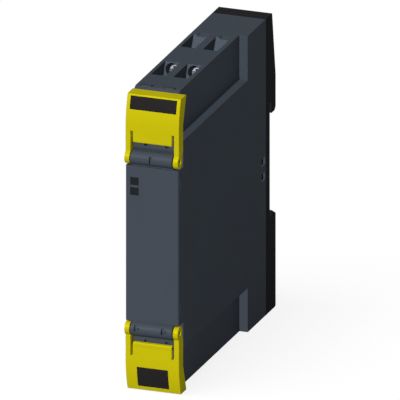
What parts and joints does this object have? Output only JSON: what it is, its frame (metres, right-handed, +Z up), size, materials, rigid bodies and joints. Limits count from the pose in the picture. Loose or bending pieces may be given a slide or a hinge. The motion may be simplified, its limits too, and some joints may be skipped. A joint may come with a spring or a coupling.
{
  "type": "interface relay",
  "caption": "Slim rail-mounted interface relay with angled screw terminals at top and bottom, hinged yellow flaps and a black rail base.",
  "frame": {"origin": "middle of the rail seat, on the mounting rail's centre line", "axes": "+X to the right seen from the front, along the rail; +Y from the front panel to the rail; +Z up, along the longest side"},
  "size_m": [0.0176, 0.0884, 0.097],
  "materials": {
    "grey_housing": "fine matte texture",
    "yellow_flap": "satin",
    "dark_plate": "satin",
    "black_base": "matte",
    "zinc_steel": "zinc plated",
    "clear_guide": "smoked, polished",
    "lamp_body": "moulded",
    "board": "solder resist",
    "component_plastic": "moulded",
    "component_sleeve": "sleeve",
    "copper": "enamelled or rolled",
    "tinned_brass": "tinned"
  },
  "bodies": {
    "housing": {"housing": "grey_housing", "front_panel": "grey_housing", "rail_base": "black_base", "upper_terminal_block": "grey_housing", "lower_terminal_block": "grey_housing", "circuit_board": "board", "input_capacitor": "component_sleeve", "filter_capacitor": "component_plastic", "rectifier": "component_plastic", "varistor": "component_plastic", "upper_resistor": "component_sleeve", "lower_resistor": "component_sleeve", "upper_lamp": "lamp_body", "lower_lamp": "lamp_body", "upper_light_guide": "clear_guide", "lower_light_guide": "clear_guide", "relay_cover": "component_sleeve", "relay_base": "component_plastic", "coil_bobbin": "component_plastic", "coil_winding": "copper", "coil_core": "zinc_steel", "yoke": "zinc_steel", "closing_contact": "copper", "opening_contact": "copper", "slider_spring": "zinc_steel", "upper_left_bar": "tinned_brass", "upper_left_socket": "tinned_brass", "upper_right_bar": "tinned_brass", "upper_right_socket": "tinned_brass", "lower_left_bar": "tinned_brass", "lower_left_socket": "tinned_brass", "lower_right_bar": "tinned_brass", "lower_right_socket": "tinned_brass"},
    "upper_flap": {"upper_flap": "yellow_flap", "upper_marker": "dark_plate"},
    "lower_flap": {"lower_flap": "yellow_flap", "lower_marker": "dark_plate"},
    "rail_slider": {"rail_slider": "black_base"},
    "armature": {"armature": "zinc_steel"},
    "contact_card": {"contact_card": "component_plastic"},
    "contact_spring": {"contact_spring": "copper"},
    "upper_left_screw": {"upper_left_screw": "zinc_steel"},
    "upper_left_cage": {"upper_left_cage": "zinc_steel"},
    "upper_right_screw": {"upper_right_screw": "zinc_steel"},
    "upper_right_cage": {"upper_right_cage": "zinc_steel"},
    "lower_left_screw": {"lower_left_screw": "zinc_steel"},
    "lower_left_cage": {"lower_left_cage": "zinc_steel"},
    "lower_right_screw": {"lower_right_screw": "zinc_steel"},
    "lower_right_cage": {"lower_right_cage": "zinc_steel"}
  },
  "joints": [
    {"name": "upper_flap_hinge", "type": "hinge", "parent": "housing", "child": "upper_flap", "pos_m": [0, -0.08085, 0.02805], "axis": [1, 0, 0], "range_deg": [0, 105]},
    {"name": "lower_flap_hinge", "type": "hinge", "parent": "housing", "child": "lower_flap", "pos_m": [0, -0.08085, -0.02805], "axis": [-1, 0, 0], "range_deg": [0, 105]},
    {"name": "rail_slider_slide", "type": "slide", "parent": "housing", "child": "rail_slider", "axis": [0, 0, 1], "range_m": [0, 0.0022], "stiffness_N_per_m": 900, "springref_m": -0.003, "deforming": ["slider_spring"]},
    {"name": "card_slide", "type": "slide", "parent": "housing", "child": "contact_card", "axis": [0, 0, -1], "range_m": [0, 0.000575], "stiffness_N_per_m": 400, "springref_m": -0.001},
    {"name": "armature_hinge", "type": "hinge", "parent": "housing", "child": "armature", "pos_m": [-0.0035, -0.0438, 0.00295], "axis": [0, 1, 0], "range_deg": [0, 4.4]},
    {"name": "contact_spring_flex", "type": "hinge", "parent": "housing", "child": "contact_spring", "pos_m": [-0.0039, -0.0438, 0.00788], "axis": [0, 1, 0], "range_deg": [0, 4.4]},
    {"name": "upper_left_screw_turn", "type": "hinge", "parent": "housing", "child": "upper_left_screw", "pos_m": [-0.00518, -0.05028, 0.04643], "axis": [0, 0.9205, -0.3907], "range_deg": [0, 1840]},
    {"name": "upper_left_cage_rise", "type": "slide", "parent": "housing", "child": "upper_left_cage", "axis": [0, -0.9205, 0.3907], "range_m": [0, 0.00225]},
    {"name": "upper_right_screw_turn", "type": "hinge", "parent": "housing", "child": "upper_right_screw", "pos_m": [0.00212, -0.05028, 0.04643], "axis": [0, 0.9205, -0.3907], "range_deg": [0, 1840]},
    {"name": "upper_right_cage_rise", "type": "slide", "parent": "housing", "child": "upper_right_cage", "axis": [0, -0.9205, 0.3907], "range_m": [0, 0.00225]},
    {"name": "lower_left_screw_turn", "type": "hinge", "parent": "housing", "child": "lower_left_screw", "pos_m": [-0.00518, -0.05028, -0.04643], "axis": [0, 0.9205, 0.3907], "range_deg": [0, 1840]},
    {"name": "lower_left_cage_rise", "type": "slide", "parent": "housing", "child": "lower_left_cage", "axis": [0, -0.9205, -0.3907], "range_m": [0, 0.00225]},
    {"name": "lower_right_screw_turn", "type": "hinge", "parent": "housing", "child": "lower_right_screw", "pos_m": [0.00212, -0.05028, -0.04643], "axis": [0, 0.9205, 0.3907], "range_deg": [0, 1840]},
    {"name": "lower_right_cage_rise", "type": "slide", "parent": "housing", "child": "lower_right_cage", "axis": [0, -0.9205, -0.3907], "range_m": [0, 0.00225]}
  ],
  "couplings": [
    {"joint": "armature_hinge", "follows": "card_slide", "rad_per_m": 127.39},
    {"joint": "contact_spring_flex", "follows": "card_slide", "rad_per_m": 121.21},
    {"joint": "upper_left_screw_turn", "follows": "upper_left_cage_rise", "rad_per_m": 13963},
    {"joint": "upper_right_screw_turn", "follows": "upper_right_cage_rise", "rad_per_m": 13963},
    {"joint": "lower_left_screw_turn", "follows": "lower_left_cage_rise", "rad_per_m": 13963},
    {"joint": "lower_right_screw_turn", "follows": "lower_right_cage_rise", "rad_per_m": 13963}
  ]
}
